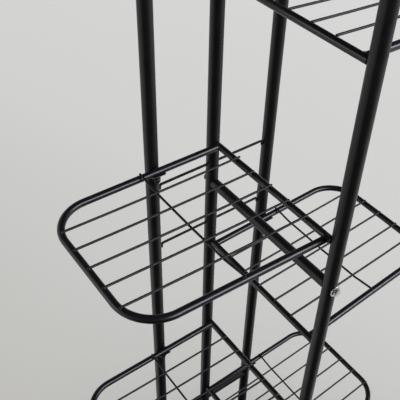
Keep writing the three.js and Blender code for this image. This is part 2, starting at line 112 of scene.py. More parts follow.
class Nodes:
    """A small helper that adds and links the nodes of one material."""

    def __init__(self, name):
        self.material = bpy.data.materials.new(name)
        self.material.use_nodes = True
        self.tree = self.material.node_tree
        self.shader = self.tree.nodes["Principled BSDF"]
        self.position = self.add("ShaderNodeTexCoord").outputs["Object"]

    def add(self, kind, **values):
        """Adds a node and gives values to its inputs, or to its own settings, by their names."""
        node = self.tree.nodes.new(kind)
        for key, value in values.items():
            if key in node.inputs:
                node.inputs[key].default_value = value
            else:
                setattr(node, key, value)
        return node

    def link(self, source, target):
        self.tree.links.new(source, target)

    def drive(self, source, name):
        """Lets a value steer one of the shader's own inputs."""
        self.link(source, self.shader.inputs[name])

    def set(self, **values):
        for key, value in values.items():
            self.shader.inputs[key.replace("_", " ")].default_value = value

    def noise(self, scale, detail, stretch=None):
        """Noise with lumps of one over scale metres; its values lie mostly between 0.3 and 0.7."""
        node = self.add("ShaderNodeTexNoise", Scale=scale, Detail=detail, Roughness=0.55)
        source = self.position
        if stretch:
            mapping = self.add("ShaderNodeMapping", Scale=stretch)
            self.link(source, mapping.inputs["Vector"])
            source = mapping.outputs["Vector"]
        self.link(source, node.inputs["Vector"])
        return node.outputs["Fac"]

    def map(self, source, *ranges):
        return map_range(self.tree, source, *ranges).outputs["Result"]

    def blend(self, factor, first, second):
        node = self.add("ShaderNodeMix", data_type="RGBA")
        self.link(factor, node.inputs["Factor"])
        for socket, colour in ((node.inputs[6], first), (node.inputs[7], second)):
            if isinstance(colour, tuple):
                socket.default_value = (*colour, 1)
            else:
                self.link(colour, socket)
        return node.outputs[2]

    def bump(self, height, strength, distance, after=None):
        node = self.add("ShaderNodeBump", Strength=strength, Distance=distance)
        self.link(height, node.inputs["Height"])
        if after is not None:
            self.link(after, node.inputs["Normal"])
        self.drive(node.outputs["Normal"], "Normal")
        return node.outputs["Normal"]


def coated_steel(name, colours, rough, peel, level):
    """Black stoved paint: fine orange peel, cloudy gloss and a little dust on what faces up."""
    m = Nodes(name)
    paint = m.blend(m.map(m.noise(38, 4), 0.35, 0.7, 0, 1), *colours)
    facing = m.add("ShaderNodeSeparateXYZ")
    m.link(m.add("ShaderNodeNewGeometry").outputs["Normal"], facing.inputs[0])
    dust = m.add("ShaderNodeMath", operation="MULTIPLY")
    m.link(m.map(facing.outputs["Z"], 0.5, 1, 0, 0.5), dust.inputs[0])
    m.link(m.map(m.noise(1400, 2), 0.62, 0.8, 0, 1), dust.inputs[1])
    m.drive(m.blend(dust.outputs[0], paint, (0.05, 0.05, 0.048)), "Base Color")
    m.drive(m.map(m.noise(120, 5), 0.3, 0.72, *rough), "Roughness")
    coarse = m.bump(m.noise(620, 2), peel, 0.06 * MM)
    m.bump(m.noise(2600, 2), peel * 0.7, 0.02 * MM, coarse)
    m.set(Metallic=0.0, Specular_IOR_Level=level)
    return m.material


def zinc_plate(name):
    """Bright zinc plate with faint crystals and fine rubbing marks."""
    m = Nodes(name)
    crystals = m.add("ShaderNodeTexVoronoi", Scale=700)
    m.link(m.position, crystals.inputs["Vector"])
    grey = m.map(crystals.outputs["Color"], 0, 1, 0.2, 0.8)
    m.drive(m.blend(grey, (0.62, 0.65, 0.67), (0.82, 0.84, 0.84)), "Base Color")
    m.drive(m.map(m.noise(420, 5), 0.3, 0.7, 0.2, 0.42), "Roughness")
    m.bump(m.noise(1500, 4, stretch=(1, 1, 6)), 0.25, 0.03 * MM)
    m.set(Metallic=1.0)
    return m.material


def turned_steel(name):
    """Machined steel with fine tool rings and a film of oil."""
    m = Nodes(name)
    rings = m.add("ShaderNodeTexWave", wave_type="RINGS", rings_direction="Z", Scale=900, Distortion=1.5)
    m.link(m.position, rings.inputs["Vector"])
    film = m.map(m.noise(90, 4), 0.3, 0.75, 0, 1)
    m.drive(m.blend(film, (0.46, 0.47, 0.48), (0.31, 0.31, 0.3)), "Base Color")
    m.drive(m.map(m.noise(260, 4), 0.3, 0.7, 0.24, 0.42), "Roughness")
    m.bump(rings.outputs["Fac"], 0.3, 0.03 * MM)
    m.set(Metallic=1.0)
    return m.material


def moulded(name, colours, rough, grain, depth, level):
    """Moulded plastic or rubber with a fine grain."""
    m = Nodes(name)
    m.drive(m.blend(m.map(m.noise(60, 4), 0.3, 0.75, 0, 1), *colours), "Base Color")
    m.drive(m.map(m.noise(300, 4), 0.3, 0.7, rough - 0.08, rough + 0.08), "Roughness")
    m.bump(m.noise(grain, 3), 0.5, depth)
    m.set(Metallic=0.0, Specular_IOR_Level=level)
    return m.material


PAINT = (0.0032, 0.0032, 0.0034), (0.0052, 0.0051, 0.0050)
GLOSS_PAINT = (0.0030, 0.0031, 0.0036), (0.0060, 0.0061, 0.0066)
WIRE_PAINT = (0.0045, 0.0045, 0.0048), (0.0085, 0.0085, 0.0085)
PLASTIC = (0.007, 0.007, 0.0075), (0.012, 0.012, 0.012)
RUBBER = (0.008, 0.008, 0.008), (0.014, 0.014, 0.013)
# each look's material and the slot that a piece with this look is in
LOOKS = {
    "powder": (coated_steel("powder_coat", PAINT, (0.36, 0.46), peel=0.35, level=0.42), "powder_coat"),
    "dull": (coated_steel("dull_coat", PAINT, (0.52, 0.62), peel=0.35, level=0.2), "powder_coat"),
    "gloss": (coated_steel("gloss_black", GLOSS_PAINT, (0.28, 0.38), peel=0.12, level=0.5), "gloss_black"),
    "wire": (coated_steel("wire_black", WIRE_PAINT, (0.38, 0.5), peel=0.2, level=0.34), "gloss_black"),
    "plastic": (moulded("black_plastic", PLASTIC, 0.5, grain=1800, depth=0.04 * MM, level=0.4),
                "black_plastic"),
    "rubber": (moulded("black_rubber", RUBBER, 0.8, grain=900, depth=0.1 * MM, level=0.3), "rubber"),
    "zinc": (zinc_plate("zinc_plate"), "zinc"),
    "steel": (turned_steel("turned_steel"), "steel"),
}


# ------------------------------------------------------------------ mesh building

def add_object(name, mesh):
    made = bpy.data.objects.new(name, mesh)
    bpy.context.scene.collection.objects.link(made)
    return made


def make_mesh(name, points, faces):
    mesh = bpy.data.meshes.new(name)
    mesh.from_pydata([tuple(p) for p in points], [], faces)
    work = bmesh.new()
    work.from_mesh(mesh)
    bmesh.ops.remove_doubles(work, verts=work.verts, dist=1e-7)
    bmesh.ops.recalc_face_normals(work, faces=work.faces)
    work.to_mesh(mesh)
    work.free()
    return mesh


def circle_angles(count):
    return [2 * math.pi * k / count for k in range(count)]


def grid_faces(rows, columns, closed_rows=False):
    """Faces of a grid whose columns run round; the rows may close on themselves too."""
    faces = []
    for i in range(rows if closed_rows else rows - 1):
        j = (i + 1) % rows
        for k in range(columns):
            n = (k + 1) % columns
            faces.append((i * columns + k, i * columns + n, j * columns + n, j * columns + k))
    return faces


def sweep(stations, sides):
    """A tube through stations (point, direction, radius), closed with flat ends."""
    direction = stations[0][1].normalized()
    upright = abs(direction.z) > 0.9
    side = direction.orthogonal().normalized() if upright else UP.cross(direction).normalized()
    points = []
    for point, heading, radius in stations:
        heading = heading.normalized()
        side = (direction.rotation_difference(heading) @ side).normalized()
        direction = heading
        other = direction.cross(side)
        points += [point + (side * math.cos(a) + other * math.sin(a)) * radius for a in circle_angles(sides)]
    faces = grid_faces(len(stations), sides)
    faces.append(tuple(range(sides)))
    last = (len(stations) - 1) * sides
    faces.append(tuple(range(last + sides - 1, last - 1, -1)))
    return points, faces


def cylinder(start, end, radius, sides=24):
    heading = (end - start).normalized()
    return sweep([(start, heading, radius), (end, heading, radius)], sides)


def bent_path(corners, radii, step):
    """Points and directions along straight runs joined by round bends; step is the angle between points."""
    path = [(corners[0], (corners[1] - corners[0]).normalized())]
    for before, corner, after, radius in zip(corners, corners[1:], corners[2:], radii):
        into = (corner - before).normalized()
        away = (after - corner).normalized()
        angle = into.angle(away)
        axis = into.cross(away).normalized()
        start = corner - into * radius * math.tan(angle / 2)
        centre = start + axis.cross(into) * radius
        steps = max(3, math.ceil(angle / step))
        for k in range(steps + 1):
            turn = Quaternion(axis, angle * k / steps)
            path.append((centre + turn @ (start - centre), turn @ into))
    path.append((corners[-1], (corners[-1] - corners[-2]).normalized()))
    return path


def rounded_rod(path, radius, sides, rounding):
    """A tube along a path whose ends are rounded by this share of its radius."""
    ease = radius * rounding

    def eased_end(point, heading, inward):
        turns = [math.pi / 2 * k / 3 for k in range(4)]
        return [(point + inward * ease * (1 - math.cos(t)), heading, radius - ease * (1 - math.sin(t)))
                for t in turns]

    (first, start), (last, end) = path[0], path[-1]
    stations = eased_end(first, start, start)
    stations += [(point, heading, radius) for point, heading in path[1:-1]]
    stations += reversed(eased_end(last, end, -end))
    return sweep(stations, sides)


def lathe(profile, centre, sides, axis=UP):
    """Turns a closed profile of (radius, height) points about an axis through centre."""
    side = axis.orthogonal().normalized()
    other = axis.cross(side)
    points = []
    for radius, height in profile:
        points += [centre + axis * height + (side * math.cos(a) + other * math.sin(a)) * radius
                   for a in circle_angles(sides)]
    reaches_axis = profile[0][0] < 1e-9 or profile[-1][0] < 1e-9
    return points, grid_faces(len(profile), sides, closed_rows=not reaches_axis)


def rounded(profile, bevels, steps=4):
    """Rounds corners of a profile; bevels maps a corner's index to its radius."""
    out = []
    for i, corner in enumerate(profile):
        if i not in bevels:
            out.append(corner)
            continue
        here = Vector(corner)
        before = here + (Vector(profile[i - 1]) - here).normalized() * bevels[i]
        after = here + (Vector(profile[(i + 1) % len(profile)]) - here).normalized() * bevels[i]
        for t in (k / steps for k in range(steps + 1)):
            p = before * (1 - t) ** 2 + here * 2 * t * (1 - t) + after * t ** 2
            out.append((p.x, p.y))
    return out


def blob(centre, radii, seed, rings=6, sides=12, lump=0.12):
    """A closed bead, as uneven as a spot of weld unless lump is 0."""
    points = [centre + UP * radii[2]]
    for tilt in (math.pi * i / rings for i in range(1, rings)):
        for angle in circle_angles(sides):
            p = at(math.sin(tilt) * math.cos(angle), math.sin(tilt) * math.sin(angle), math.cos(tilt))
            grow = 1 + lump * noise.noise(p * 2.3 + at(seed * 3.7, seed * 1.3, 0))
            points.append(centre + at(p.x * radii[0], p.y * radii[1], p.z * radii[2]) * grow)
    points.append(centre - UP * radii[2])
    last = len(points) - 1
    faces = []
    for k in range(sides):
        n = (k + 1) % sides
        faces.append((0, 1 + k, 1 + n))
        faces.append((last, last - sides + n, last - sides + k))
    for i in range(rings - 2):
        a, b = 1 + i * sides, 1 + (i + 1) * sides
        for k in range(sides):
            n = (k + 1) % sides
            faces.append((a + k, b + k, b + n, a + n))
    return points, faces


def prism(outline, offset_start, offset_end):
    """A solid between two copies of an outline."""
    count = len(outline)
    points = [p + offset_start for p in outline] + [p + offset_end for p in outline]
    faces = [tuple(range(count)), tuple(range(2 * count - 1, count - 1, -1))]
    for k in range(count):
        n = (k + 1) % count
        faces.append((k, k + count, n + count, n))
    return points, faces


def as_objects(name, parts):
    """An object for each part, which is a mesh or the points and faces of a closed shell."""
    objects = []
    for i, part in enumerate(parts):
        mesh = make_mesh(f"{name}.{i}", *part) if isinstance(part, tuple) else part
        objects.append(add_object(f"{name}.{i}", mesh))
    return objects


def weld(name, parts):
    """Joins closed shells into one closed mesh."""
    base, *others = as_objects(name, parts)
    group = bpy.data.collections.new(name + ".parts")
    for other in others:
        group.objects.link(other)
    joiner = base.modifiers.new("weld", "BOOLEAN")
    joiner.operation = "UNION"
    joiner.operand_type = "COLLECTION"
    joiner.collection = group
    joiner.solver = "MANIFOLD"
    mesh = applied(name, [base, *others])
    bpy.data.collections.remove(group)
    return mesh


def cut(name, part, tools, operation="DIFFERENCE"):
    """Cuts closed shells out of a part, or keeps what it shares with them."""
    base, *others = as_objects(name, [part, *tools])
    for i, tool in enumerate(others):
        cutter = base.modifiers.new(f"cut{i}", "BOOLEAN")
        cutter.operation = operation
        cutter.object = tool
        cutter.solver = "MANIFOLD"
    return applied(name, [base, *others])


def applied(name, objects):
    """The mesh of the first object with its modifiers applied; the objects themselves are removed."""
    bpy.context.view_layer.update()
    finished = objects[0].evaluated_get(bpy.context.evaluated_depsgraph_get())
    mesh = bpy.data.meshes.new_from_object(finished)
    mesh.name = name
    for used in objects:
        bpy.data.objects.remove(used)
    return mesh


def bevelled(mesh, size, sharp_angle=40, merge_flats=True):
    """Bevels every edge that is sharper than an angle in degrees."""
    work = bmesh.new()
    work.from_mesh(mesh)
    if merge_flats:
        bmesh.ops.dissolve_limit(work, angle_limit=math.radians(0.5), verts=work.verts, edges=work.edges)
    limit = math.radians(sharp_angle)
    edges = [e for e in work.edges if len(e.link_faces) == 2 and e.calc_face_angle(0) > limit]
    bmesh.ops.bevel(work, geom=edges, offset=size, segments=2, affect="EDGES", clamp_overlap=True)
    work.to_mesh(mesh)
    work.free()


def piece(name, mesh, look, body, node):
    """Finishes a piece: smooth shading, its material, its place in the frame and the node it stands for."""
    if isinstance(mesh, tuple):
        mesh = make_mesh(name, *mesh)
    material, slot = LOOKS[look]
    mesh.shade_smooth()
    mesh.set_sharp_from_angle(angle=math.radians(38))
    mesh.materials.clear()
    mesh.materials.append(material)
    shown = add_object(name, mesh)
    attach(shown, body)
    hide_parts(node)


# ------------------------------------------------------------------ sizes that the CAD model fixes

POST_R = 9.5 * MM
POST_WALL = 1.2 * MM
TUBE_R = 4.9 * MM
WIRE_R = 1.6 * MM
BAR_R = 7.7 * MM
BAR_BORE_R = 3.5 * MM
TIE_R = 1.95 * MM
TIE_BEND_R = 3.5 * MM
GAP = 0.3 * MM
BOLT_R = 3.0 * MM
HEAD_H = 3.4 * MM
WASHER_R = 8 * MM
REACH = 263.3 * MM
BEND_R = 51 * MM
FRONT_LEG_Y = -109.6 * MM
TOE_IN = 9 * MM
WIRE_MIDDLE_Y, WIRE_FAR_MIDDLE_Y = 0.1 * MM, 3.4 * MM
WIRE_PITCH, WIRE_FAR_PITCH = 35.3 * MM, 34.4 * MM
WIRE_SAG = 1.3 * MM
CROSS_WIRE_DRIFT = 2.2 * MM
WIRE_LIFT = TUBE_R + WIRE_R - GAP


def middle_of(node):
    low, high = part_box(node)
    return (low + high) / 2


POSTS = {place: middle_of(f"post_{place}") for place in ("left", "centre", "right", "front")}
REAR_Y = POSTS["centre"].y
FRONT_Y = POSTS["front"].y
REAR_LEG_Y = REAR_Y - POST_R - GAP - TUBE_R
CROSSBAR_Z = {level: middle_of(f"crossbar_{level}").z for level in ("middle", "top")}
REAR_BAR_Z = {level: middle_of(f"rear_bar_{level}_left").z for level in ("lower", "upper")}
TIE_Z = {level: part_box(f"tie_rod_{level}")[1].z - TIE_R for level in ("upper", "lower")}
# for each tray: the height of its tube between the posts, how much higher its far end is, how far out
# its cross wire lies, and how far its last long wire reaches past the middle of the tube at the posts
TRAYS = {
    "right_low": (306.7 * MM, 11 * MM, 130.5 * MM, 1.0 * MM),
    "left_low": (521.1 * MM, -1.5 * MM, 126.1 * MM, 1.0 * MM),
    "right_middle": (723.7 * MM, 9 * MM, 128.1 * MM, 1.0 * MM),
    "left_middle": (919.9 * MM, 2 * MM, 128.8 * MM, 4.6 * MM),
    "right_high": (1166.2 * MM, -14 * MM, 128.2 * MM, 1.0 * MM),
    "left_high": (1366 * MM, 0 * MM, 128.5 * MM, 1.0 * MM),
}


# ------------------------------------------------------------------ posts and caps

def cross_hole(spot, z, direction, radius):
    """What a drill takes out of a post that it goes through at height z."""
    reach = direction * (2 * POST_R)
    return cylinder(spot + UP * z - reach, spot + UP * z + reach, radius)


def post_tube(name, place, spot, low_z, high_z):
    """A tube with eased ends, cut through where bolts and tie rods cross it."""
    rearward, sideways = at(0, 1, 0), at(1, 0, 0)
    holes = []
    if abs(spot.y - REAR_Y) < 1e-4:
        holes += [(z, sideways, BOLT_R + GAP) for z in REAR_BAR_Z.values()]
    if abs(spot.x) < 1e-4:
        holes += [(z, rearward, BOLT_R + GAP) for z in CROSSBAR_Z.values()]
    if place == "centre":
        holes += [(z, sideways, TIE_R + GAP) for z in TIE_Z.values()]
    ease = 0.35 * MM
    around_hole = 9 * MM
    profile = [(POST_R - ease, low_z), (POST_R, low_z + ease)]
    for z in sorted(z for z, *_ in holes):
        profile += [(POST_R, z - around_hole), (POST_R, z + around_hole)]
    profile += [(POST_R, high_z - ease), (POST_R - ease, high_z),
                (POST_R - POST_WALL, high_z), (POST_R - POST_WALL, low_z)]
    return cut(name, lathe(profile, spot, 64), [cross_hole(spot, *hole) for hole in holes])


def make_posts():
    plug_r = POST_R - POST_WALL - GAP
    rim_h = 2 * MM
    for place, centre in POSTS.items():
        low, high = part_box(f"post_{place}")
        spot = at(centre.x, centre.y, 0)
        tube = post_tube(f"post_{place}_tube", place, spot, low.z, high.z)
        piece(f"post_{place}_tube", tube, "powder", "rotor", f"post_{place}")
        cap_low, cap_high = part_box(f"post_cap_{place}")
        rim = high.z + GAP
        rise = cap_high.z - rim - rim_h
        dome = [(0, cap_low.z), (plug_r, cap_low.z), (plug_r, rim), (POST_R, rim), (POST_R, rim + rim_h)]
        dome += [(POST_R * math.cos(a), rim + rim_h + rise * math.sin(a))
                 for a in (math.radians(d) for d in range(10, 90, 10))]
        dome.append((0, cap_high.z))
        cap = lathe(rounded(dome, {1: 0.6 * MM, 3: 0.4 * MM}), spot, 48)
        piece(f"post_cap_{place}_dome", cap, "plastic", "rotor", f"post_cap_{place}")


# ------------------------------------------------------------------ bars, bolts and tie rods

BOLT_ACROSS_FLATS = 10 * MM
BOLT_THREAD_TURNS, BOLT_PITCH, BOLT_THREAD_DEPTH = 20, 1 * MM, 0.3 * MM
DOME_NUT_R = 5.5 * MM


def coped_bar(start, end):
    """A thick tube between two posts, its ends shaped to the posts' curve."""
    heading = (end - start).normalized()
    across = UP.cross(heading)
    clear = POST_R + GAP
    ease = 0.4 * MM
    rings = [(BAR_R - ease, start, heading, 0), (BAR_R, start, heading, ease),
             (BAR_R, end, -heading, ease), (BAR_R - ease, end, -heading, 0),
             (BAR_BORE_R, end, -heading, 0), (BAR_BORE_R, start, heading, 0)]
    sides = 48
    points = []
    for radius, post, inward, inset in rings:
        for angle in circle_angles(sides):
            w, h = radius * math.cos(angle), radius * math.sin(angle)
            depth = math.sqrt(clear ** 2 - w ** 2) + inset
            points.append(post + inward * depth + across * w + UP * h)
    return points, grid_faces(len(rings), sides, closed_rows=True)


def hexagon(name, start, end, across_flats):
    """A hexagon whose corners are turned off at its end, as on bolt heads and nuts."""
    heading = (end - start).normalized()
    height = (end - start).length
    flat = across_flats / 2
    corner = flat / math.cos(math.pi / 6)
    points, faces = sweep([(start, heading, corner), (end, heading, corner)], 6)
    turn = Quaternion(heading, math.radians(30))
    block = [start + turn @ (p - start) for p in points], faces
    slope = 0.58
    face_r, outside = flat * 0.94, corner * 1.1
    shoulder = height - (outside - face_r) * slope
    profile = [(0, 0), (outside, 0), (outside, shoulder), (face_r, height), (0, height)]
    return cut(name, block, [lathe(profile, start, 48, heading)], "INTERSECT")


def bolt(node, head_face, outward, end):
    """A hexagon-headed bolt whose threaded shank runs from its head's face to end."""
    head = hexagon(f"{node}_head", head_face, head_face + outward * HEAD_H, BOLT_ACROSS_FLATS)
    bevelled(head, 0.22 * MM, 20, merge_flats=False)
    piece(f"{node}_head", head, "zinc", "rotor", node)
    heading = (end - head_face).normalized()
    plain = (end - head_face).length - BOLT_THREAD_TURNS * BOLT_PITCH
    stations = [(head_face, heading, BOLT_R), (head_face + heading * plain, heading, BOLT_R)]
    for k in range(BOLT_THREAD_TURNS):
        for share, depth in ((0.25, BOLT_THREAD_DEPTH), (0.75, 0)):
            along = plain + (k + share) * BOLT_PITCH
            stations.append((head_face + heading * along, heading, BOLT_R - depth))
    stations.append((end, heading, BOLT_R - 0.5 * MM))
    piece(f"{node}_shank", sweep(stations, 24), "zinc", "rotor", node)


def dome_nut(node, start, end):
    """A small closed nut: a hexagon foot under a round cap."""
    heading = (end - start).normalized()
    height = (end - start).length
    foot_h = height * 0.5
    cap_r = DOME_NUT_R * 0.8
    dome = [(0, foot_h * 0.5), (cap_r, foot_h * 0.5), (cap_r, foot_h)]
    dome += [(cap_r * math.cos(a), foot_h + (height - foot_h) * math.sin(a))
             for a in (math.radians(d) for d in range(15, 90, 15))]
    dome.append((0, height))
    foot = hexagon(f"{node}_foot", start, start + heading * foot_h, 2 * DOME_NUT_R * math.cos(math.pi / 6))
    piece(f"{node}_foot", foot, "gloss", "rotor", node)
    piece(f"{node}_cap", lathe(dome, start, 32, heading), "gloss", "rotor", node)


def make_crossbars():
    for level, z in CROSSBAR_Z.items():
        bar = coped_bar(at(0, FRONT_Y, z), at(0, REAR_Y, z))
        piece(f"crossbar_{level}_tube", bar, "powder", "rotor", f"crossbar_{level}")
        low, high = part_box(f"crossbar_washer_{level}")
        thick = high.y - low.y
        profile = [(BOLT_R + GAP, 0), (WASHER_R, 0), (WASHER_R, thick), (BOLT_R + GAP, thick)]
        washer = lathe(rounded(profile, {1: 0.45 * MM, 2: 0.45 * MM}), at(0, low.y, z), 48, at(0, 1, 0))
        piece(f"crossbar_washer_{level}_ring", washer, "zinc", "rotor", f"crossbar_washer_{level}")
        low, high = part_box(f"crossbar_bolt_{level}")
        bolt(f"crossbar_bolt_{level}", at(0, low.y + HEAD_H, z), at(0, -1, 0), at(0, high.y, z))
        low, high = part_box(f"crossbar_nut_{level}")
        dome_nut(f"crossbar_nut_{level}", at(0, low.y, z), at(0, high.y, z))


def make_rear_bars():
    for level, z in REAR_BAR_Z.items():
        left, centre, right = (at(POSTS[place].x, REAR_Y, z) for place in ("left", "centre", "right"))
        for half, start, end in (("left", left, centre), ("right", centre, right)):
            node = f"rear_bar_{level}_{half}"
            piece(f"{node}_tube", coped_bar(start, end), "dull", "rotor", node)
        low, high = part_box(f"rear_bar_bolt_{level}")
        bolt(f"rear_bar_bolt_{level}", at(high.x - HEAD_H, REAR_Y, z), at(1, 0, 0), at(low.x, REAR_Y, z))
        low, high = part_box(f"rear_bar_nut_{level}")
        dome_nut(f"rear_bar_nut_{level}", at(high.x, REAR_Y, z), at(low.x, REAR_Y, z))


def make_tie_rods():
    for level, z in TIE_Z.items():
        node = f"tie_rod_{level}"
        low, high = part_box(node)
        left, right = low.x + TIE_R, high.x - TIE_R
        ends_down = ((left, low.z), (left, z), (right, z), (right, low.z))
        corners = [at(x, REAR_Y, height) for x, height in ends_down]
        path = bent_path(corners, [TIE_BEND_R] * 2, math.radians(15))
        piece(f"{node}_wire", rounded_rod(path, TIE_R, 20, 0.35), "dull", "rotor", node)


# ------------------------------------------------------------------ trays

# how far the long wires reach past the middle of the tubes, at the posts and at the far end, from the
# front wire to the rear; the rear one's own reach at the posts is in TRAYS
WIRE_ENDS = {
    -2: (0.6 * MM, 1.0 * MM),
    -1: (1.8 * MM, 2.0 * MM),
    0: (2.6 * MM, 1.4 * MM),
    1: (0.8 * MM, 1.8 * MM),
}
LAST_WIRE_FAR_END = 1.6 * MM
WIRE_REST = 6 * MM  # how far in from a tube's middle a long wire starts to sag
BEAD_LIFT = TUBE_R - 0.1 * MM
LONG_WIRE_BEAD = (2.2 * MM, 1.9 * MM, 1.0 * MM)
CROSSING_BEAD = (1.9 * MM, 1.9 * MM, 1.0 * MM)
CROSS_WIRE_BEAD = (2.3 * MM, 2.7 * MM, 1.3 * MM)
CROSS_WIRE_BEND_R = 30 * MM
# along the cross wire, from the middle of each leg: its end outside, where it turns down, where it is down
CROSS_WIRE_END, CROSS_WIRE_TOP = 2.6 * MM, 5 * MM
CROSS_WIRE_REAR_RISE, CROSS_WIRE_FRONT_RISE = 32 * MM, 34 * MM


def corner_bead(side, y, seed, sides=56, section=8):
    """A weld bead along the line where a leg meets the cross tube of the same size."""
    def middle(angle):
        across = math.sqrt(math.cos(angle) ** 2 + 0.02)
        return at(side * across, math.cos(angle), math.sin(angle)) * TUBE_R + at(0, y, 0)

    points = []
    for angle in circle_angles(sides):
        along = (middle(angle + 0.01) - middle(angle - 0.01)).normalized()
        out = at(side * abs(math.cos(angle)), math.cos(angle), 2 * math.sin(angle)).normalized()
        other = along.cross(out).normalized()
        size = (0.85 + 0.3 * noise.noise(out * 2.2 + at(seed * 3.1, seed, 0))) * MM
        points += [middle(angle) + (out * math.cos(turn) + other * math.sin(turn)) * size
                   for turn in circle_angles(section)]
    return points, grid_faces(sides, section, closed_rows=True)


def tray_frame(name, side):
    """The bent tube and the cross tube that closes it, with both centre lines at height 0."""
    corners = [at(0, REAR_LEG_Y, 0), at(side * REACH, REAR_LEG_Y, 0),
               at(side * REACH, FRONT_LEG_Y + TOE_IN, 0), at(0, FRONT_LEG_Y, 0)]
    path = bent_path(corners, [BEND_R] * 2, math.radians(3))
    bent_tube = sweep([(p, d, TUBE_R) for p, d in path], 32)
    forward = at(0, -1, 0)
    rear_end, front_end = at(0, REAR_Y - POST_R - GAP, 0), at(0, FRONT_Y + POST_R + GAP, 0)
    cross_tube = rounded_rod([(rear_end, forward), (front_end, forward)], TUBE_R, 32, 0.12)
    beads = [corner_bead(side, y, 5 * i + side) for i, y in enumerate((REAR_LEG_Y, FRONT_LEG_Y))]
    return weld(f"tray_{name}_frame", [bent_tube, cross_tube, *beads])


def wire_point(side, index, out, lift):
    """A point on a long wire: index 0 is the middle wire, and out is how far it is from the posts."""
    near_y = WIRE_MIDDLE_Y + index * WIRE_PITCH
    far_y = WIRE_FAR_MIDDLE_Y + index * WIRE_FAR_PITCH
    return at(side * out, near_y * (1 - out / REACH) + far_y * out / REACH, lift)


def long_wire(side, index, lowest, near_end, far_end):
    """A wire that rests on the tubes at both ends and sags most where the cross wire carries it."""
    nodes = [(-near_end, 0)]
    nodes += [(WIRE_REST + (lowest - WIRE_REST) * t, 1 - (1 - t) ** 2) for t in (k / 8 for k in range(9))]
    nodes += [(lowest + (REACH - WIRE_REST - lowest) * t, 1 - t ** 2) for t in (k / 8 for k in range(1, 9))]
    nodes.append((REACH + far_end, 0))
    points = [wire_point(side, index, out, WIRE_LIFT - sag * WIRE_SAG) for out, sag in nodes]
    ahead, behind = points[1:] + points[-1:], points[:1] + points[:-1]
    path = [(p, (after - before).normalized()) for p, after, before in zip(points, ahead, behind)]
    return rounded_rod(path, WIRE_R, 16, 0.6)


def tray_wires(name, side, cross_wire_out, last_wire_end):
    """The long wires and the cross wire, with their welds, of a tray whose tube is at height 0."""
    front_y = FRONT_LEG_Y + TOE_IN * cross_wire_out / REACH

    def cross_wire_x(y):
        return side * cross_wire_out + CROSS_WIRE_DRIFT * max(0, y / front_y)

    wires, beads = [], []
    for index, ends in {**WIRE_ENDS, 2: (last_wire_end, LAST_WIRE_FAR_END)}.items():
        wires.append(long_wire(side, index, cross_wire_out, *ends))
        for j, out in enumerate((0, REACH)):
            spot = wire_point(side, index, out, BEAD_LIFT)
            beads.append(blob(spot, LONG_WIRE_BEAD, index * 7 + j + 3 * side))
        crossing = side * cross_wire_x(WIRE_MIDDLE_Y + index * WIRE_PITCH)
        spot = wire_point(side, index, crossing, WIRE_LIFT - WIRE_SAG - 1.2 * MM)
        beads.append(blob(spot, CROSSING_BEAD, 60 + index + side))

    high, low = WIRE_LIFT, WIRE_LIFT - WIRE_SAG - 1.5 * WIRE_R
    nodes = [(REAR_LEG_Y + CROSS_WIRE_END, high), (REAR_LEG_Y - CROSS_WIRE_TOP, high),
             (REAR_LEG_Y - CROSS_WIRE_REAR_RISE, low), (0, low), (front_y + CROSS_WIRE_FRONT_RISE, low),
             (front_y + CROSS_WIRE_TOP, high), (front_y - CROSS_WIRE_END, high)]
    corners = [at(cross_wire_x(y), y, z) for y, z in nodes]
    wires.append(rounded_rod(bent_path(corners, [CROSS_WIRE_BEND_R] * 5, math.radians(4)), WIRE_R, 16, 0.6))
    for j, y in enumerate((REAR_LEG_Y, front_y)):
        beads.append(blob(at(cross_wire_x(y), y, BEAD_LIFT), CROSS_WIRE_BEAD, 40 + j + side))
    return weld(f"tray_{name}_wires", wires + beads)


def side_of(tray):
    """-1 for a tray that reaches out to the left, 1 for one that reaches out to the right."""
    return -1 if tray.startswith("left") else 1


def tilt_of(side, rise):
    """How far a tray is turned about its tube between the posts."""
    return -side * math.asin(rise / REACH)


def make_trays():
    for name, (height, rise, cross_wire_out, last_wire_end) in TRAYS.items():
        side = side_of(name)
        place = Matrix.Translation(UP * height) @ Matrix.Rotation(tilt_of(side, rise), 4, "Y")
        frame_mesh = tray_frame(name, side)
        wire_mesh = tray_wires(name, side, cross_wire_out, last_wire_end)
        for part, mesh, look in (("frame", frame_mesh, "gloss"), ("wires", wire_mesh, "wire")):
            mesh.transform(place)
            piece(f"tray_{name}_{part}", mesh, look, "rotor", f"tray_{name}")


# ------------------------------------------------------------------ saddles

SEAT_THICK, SEAT_HALF_LENGTH = 2.5 * MM, 9.5 * MM
SEAT_R = TUBE_R + 0.35 * MM
TONGUE_THICK, TONGUE_DROP = 2 * MM, 25 * MM
SCREW_DROP, SCREW_HOLE_R = 17.5 * MM, 2.2 * MM
SCREW_HEAD_H = 3.4 * MM
# the tongue's outline seen from the front, as width and height from where its tray's leg passes
TONGUE_OUTLINE = [(-7, 1), (-7, -4), (-12.8, -10), (-12.8, -14), (-7.5, -26),
                  (7.5, -26), (12.8, -14), (12.8, -10), (7, -4), (7, 1)]


def bent_strip(section, start, end, thick, radius, steps):
    """The outline of a bent strip between two angles in degrees, outer side then inner side."""
    angles = [math.radians(start) + math.radians(end - start) * k / steps for k in range(steps + 1)]
    return [section(radius + thick, a) for a in angles] + [section(radius, a) for a in reversed(angles)]


